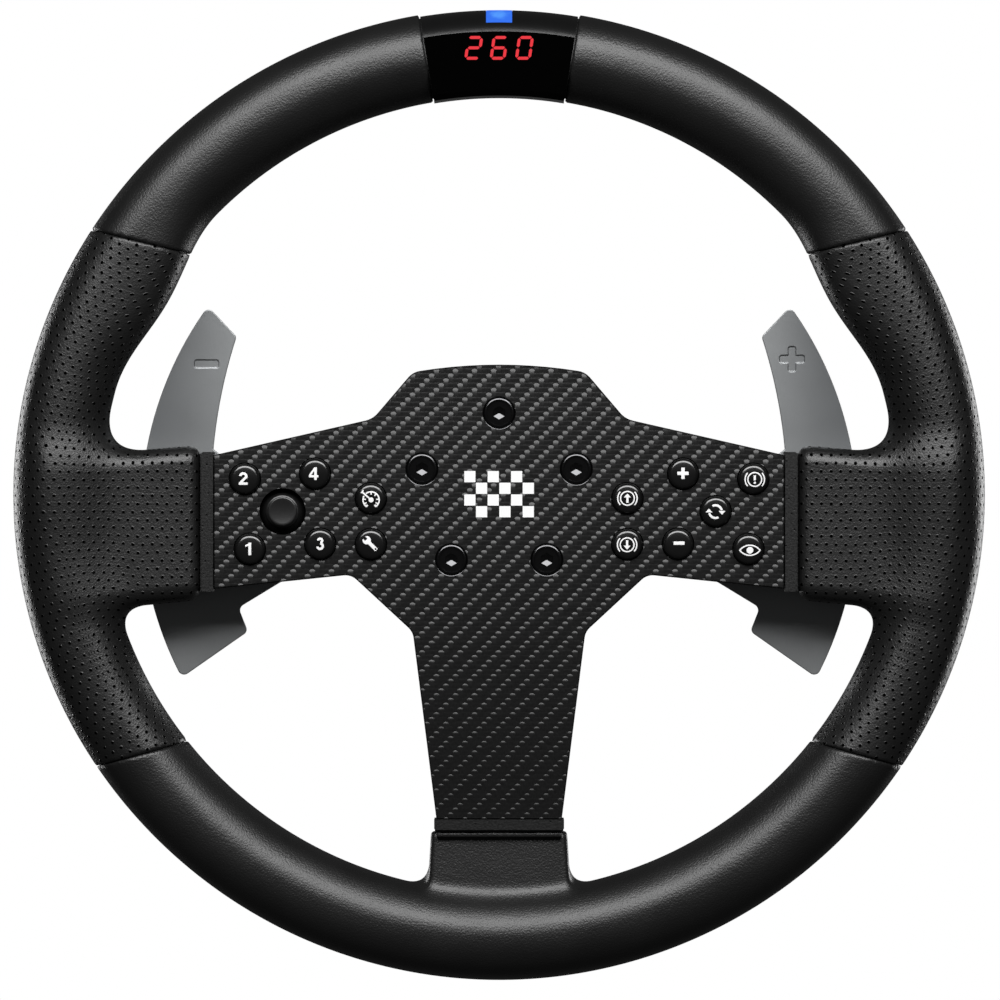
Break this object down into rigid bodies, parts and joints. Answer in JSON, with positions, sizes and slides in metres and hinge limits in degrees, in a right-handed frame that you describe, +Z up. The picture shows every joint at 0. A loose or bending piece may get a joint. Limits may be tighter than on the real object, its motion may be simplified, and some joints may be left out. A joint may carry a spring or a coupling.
{
  "type": "racing wheel",
  "caption": "Round sim-racing wheel with leather-like grips, a button face plate, a thumb stick, a rim display, shift paddles and a pull-ring quick release.",
  "frame": {"origin": "centre of the quick-release socket's mouth, on the steering axis", "axes": "+Y along the steering axis, out of the back of the wheel towards the base; the face looks along -Y; +Z is up with the wheel straight ahead; +X is to the driver's right"},
  "size_m": [0.3, 0.0935, 0.2992],
  "materials": {
    "cast_metal": "die-cast, bead blasted",
    "smooth_leather": "fine-grained black synthetic leather, satin",
    "perforated_leather": "perforated black synthetic leather, satin",
    "gloss_black": "gloss black",
    "display_lens": "piano black",
    "circuit_board": "solder mask",
    "red_light": "lit red light guide",
    "blue_light": "lit blue light guide",
    "carbon_face": "twill-weave carbon look, satin clear coat",
    "white_print": "printed white",
    "textured_trim": "coarse speckled texture",
    "black_plastic": "fine moulded texture",
    "switch_plastic": "moulded",
    "stick_rubber": "soft-touch black",
    "button_black": "semi-gloss black cap",
    "black_bolt": "black oxide",
    "paddle_metal": "satin brushed grey",
    "steel": "plain",
    "coupling_metal": "black anodised",
    "ring_metal": "black anodised, ribbed"
  },
  "bodies": {
    "wheel": {"armature": "cast_metal", "grip_upper_left": "smooth_leather", "grip_upper_right": "smooth_leather", "grip_lower": "smooth_leather", "grip_side_left": "perforated_leather", "grip_side_right": "perforated_leather", "display_housing": "gloss_black", "display_lens": "display_lens", "display_board": "circuit_board", "display_digits": "red_light", "marker_light": "blue_light", "face_plate": "carbon_face", "emblem": "white_print", "spoke_trim_left": "textured_trim", "spoke_trim_right": "textured_trim", "spoke_trim_lower": "textured_trim", "button_tray": "black_plastic", "button_board_left": "circuit_board", "button_board_right": "circuit_board", "tact_switches": "switch_plastic", "stick_base": "switch_plastic", "rear_housing": "black_plastic", "main_board": "circuit_board", "hub_bolts": "black_bolt", "housing_screws": "black_bolt", "paddle_pins": "steel", "paddle_spring_left": "steel", "paddle_spring_right": "steel", "paddle_switches": "switch_plastic", "coupling_socket": "coupling_metal", "contact_block": "switch_plastic", "snap_ring": "steel", "ring_spring": "steel"},
    "button_one": {"button_one": "button_black"},
    "button_two": {"button_two": "button_black"},
    "button_three": {"button_three": "button_black"},
    "button_four": {"button_four": "button_black"},
    "button_cruise": {"button_cruise": "button_black"},
    "button_wrench": {"button_wrench": "button_black"},
    "button_brake": {"button_brake": "button_black"},
    "button_plus": {"button_plus": "button_black"},
    "button_minus": {"button_minus": "button_black"},
    "button_cycle": {"button_cycle": "button_black"},
    "button_view": {"button_view": "button_black"},
    "button_traction_up": {"button_traction_up": "button_black"},
    "button_traction_down": {"button_traction_down": "button_black"},
    "stick_gimbal": {"stick_gimbal": "steel"},
    "stick_shaft": {"stick_shaft": "steel"},
    "stick_cap": {"stick_cap": "stick_rubber"},
    "paddle_left": {"paddle_left": "paddle_metal", "paddle_arm_left": "black_plastic", "paddle_screws_left": "black_bolt"},
    "paddle_right": {"paddle_right": "paddle_metal", "paddle_arm_right": "black_plastic", "paddle_screws_right": "black_bolt"},
    "release_ring": {"release_ring": "ring_metal"},
    "locking_ball_1": {"locking_ball_1": "steel"},
    "locking_ball_2": {"locking_ball_2": "steel"},
    "locking_ball_3": {"locking_ball_3": "steel"}
  },
  "joints": [
    {"name": "button_one_press", "type": "slide", "parent": "wheel", "child": "button_one", "axis": [0, 1, 0], "range_m": [0, 0.001], "stiffness_N_per_m": 1500, "springref_m": -0.0005},
    {"name": "button_two_press", "type": "slide", "parent": "wheel", "child": "button_two", "axis": [0, 1, 0], "range_m": [0, 0.001], "stiffness_N_per_m": 1500, "springref_m": -0.0005},
    {"name": "button_three_press", "type": "slide", "parent": "wheel", "child": "button_three", "axis": [0, 1, 0], "range_m": [0, 0.001], "stiffness_N_per_m": 1500, "springref_m": -0.0005},
    {"name": "button_four_press", "type": "slide", "parent": "wheel", "child": "button_four", "axis": [0, 1, 0], "range_m": [0, 0.001], "stiffness_N_per_m": 1500, "springref_m": -0.0005},
    {"name": "button_cruise_press", "type": "slide", "parent": "wheel", "child": "button_cruise", "axis": [0, 1, 0], "range_m": [0, 0.001], "stiffness_N_per_m": 1500, "springref_m": -0.0005},
    {"name": "button_wrench_press", "type": "slide", "parent": "wheel", "child": "button_wrench", "axis": [0, 1, 0], "range_m": [0, 0.001], "stiffness_N_per_m": 1500, "springref_m": -0.0005},
    {"name": "button_brake_press", "type": "slide", "parent": "wheel", "child": "button_brake", "axis": [0, 1, 0], "range_m": [0, 0.001], "stiffness_N_per_m": 1500, "springref_m": -0.0005},
    {"name": "button_plus_press", "type": "slide", "parent": "wheel", "child": "button_plus", "axis": [0, 1, 0], "range_m": [0, 0.001], "stiffness_N_per_m": 1500, "springref_m": -0.0005},
    {"name": "button_minus_press", "type": "slide", "parent": "wheel", "child": "button_minus", "axis": [0, 1, 0], "range_m": [0, 0.001], "stiffness_N_per_m": 1500, "springref_m": -0.0005},
    {"name": "button_cycle_press", "type": "slide", "parent": "wheel", "child": "button_cycle", "axis": [0, 1, 0], "range_m": [0, 0.001], "stiffness_N_per_m": 1500, "springref_m": -0.0005},
    {"name": "button_view_press", "type": "slide", "parent": "wheel", "child": "button_view", "axis": [0, 1, 0], "range_m": [0, 0.001], "stiffness_N_per_m": 1500, "springref_m": -0.0005},
    {"name": "button_traction_up_press", "type": "slide", "parent": "wheel", "child": "button_traction_up", "axis": [0, 1, 0], "range_m": [0, 0.001], "stiffness_N_per_m": 1500, "springref_m": -0.0005},
    {"name": "button_traction_down_press", "type": "slide", "parent": "wheel", "child": "button_traction_down", "axis": [0, 1, 0], "range_m": [0, 0.001], "stiffness_N_per_m": 1500, "springref_m": -0.0005},
    {"name": "stick_nod", "type": "hinge", "parent": "wheel", "child": "stick_gimbal", "pos_m": [-0.0667, -0.0795, -0.0053], "axis": [1, 0, 0], "range_deg": [-7, 7], "stiffness_Nm_per_rad": 0.05},
    {"name": "stick_lean", "type": "hinge", "parent": "stick_gimbal", "child": "stick_shaft", "pos_m": [-0.0667, -0.0795, -0.0053], "axis": [0, 0, 1], "range_deg": [-7, 7], "stiffness_Nm_per_rad": 0.05},
    {"name": "stick_press", "type": "slide", "parent": "stick_shaft", "child": "stick_cap", "axis": [0, 1, 0], "range_m": [0, 0.0005], "stiffness_N_per_m": 3000, "springref_m": -0.0003},
    {"name": "paddle_left_pull", "type": "hinge", "parent": "wheel", "child": "paddle_left", "pos_m": [-0.046, -0.0555, 0], "axis": [0, 0, 1], "range_deg": [0, 4], "stiffness_Nm_per_rad": 4, "springref_deg": -1.72, "deforming": ["paddle_spring_left"]},
    {"name": "paddle_right_pull", "type": "hinge", "parent": "wheel", "child": "paddle_right", "pos_m": [0.046, -0.0555, 0], "axis": [0, 0, -1], "range_deg": [0, 4], "stiffness_Nm_per_rad": 4, "springref_deg": -1.72, "deforming": ["paddle_spring_right"]},
    {"name": "release_pull", "type": "slide", "parent": "wheel", "child": "release_ring", "axis": [0, -1, 0], "range_m": [0, 0.006], "stiffness_N_per_m": 1500, "springref_m": -0.004, "deforming": ["ring_spring"]},
    {"name": "locking_ball_1_slide", "type": "slide", "parent": "wheel", "child": "locking_ball_1", "axis": [0.866, 0, 0.5], "range_m": [0, 0.0018]},
    {"name": "locking_ball_2_slide", "type": "slide", "parent": "wheel", "child": "locking_ball_2", "axis": [0, 0, -1], "range_m": [0, 0.0018]},
    {"name": "locking_ball_3_slide", "type": "slide", "parent": "wheel", "child": "locking_ball_3", "axis": [-0.866, 0, 0.5], "range_m": [0, 0.0018]}
  ],
  "couplings": [
    {"joint": "locking_ball_1_slide", "follows": "release_pull", "ratio": 0.3},
    {"joint": "locking_ball_2_slide", "follows": "release_pull", "ratio": 0.3},
    {"joint": "locking_ball_3_slide", "follows": "release_pull", "ratio": 0.3}
  ]
}
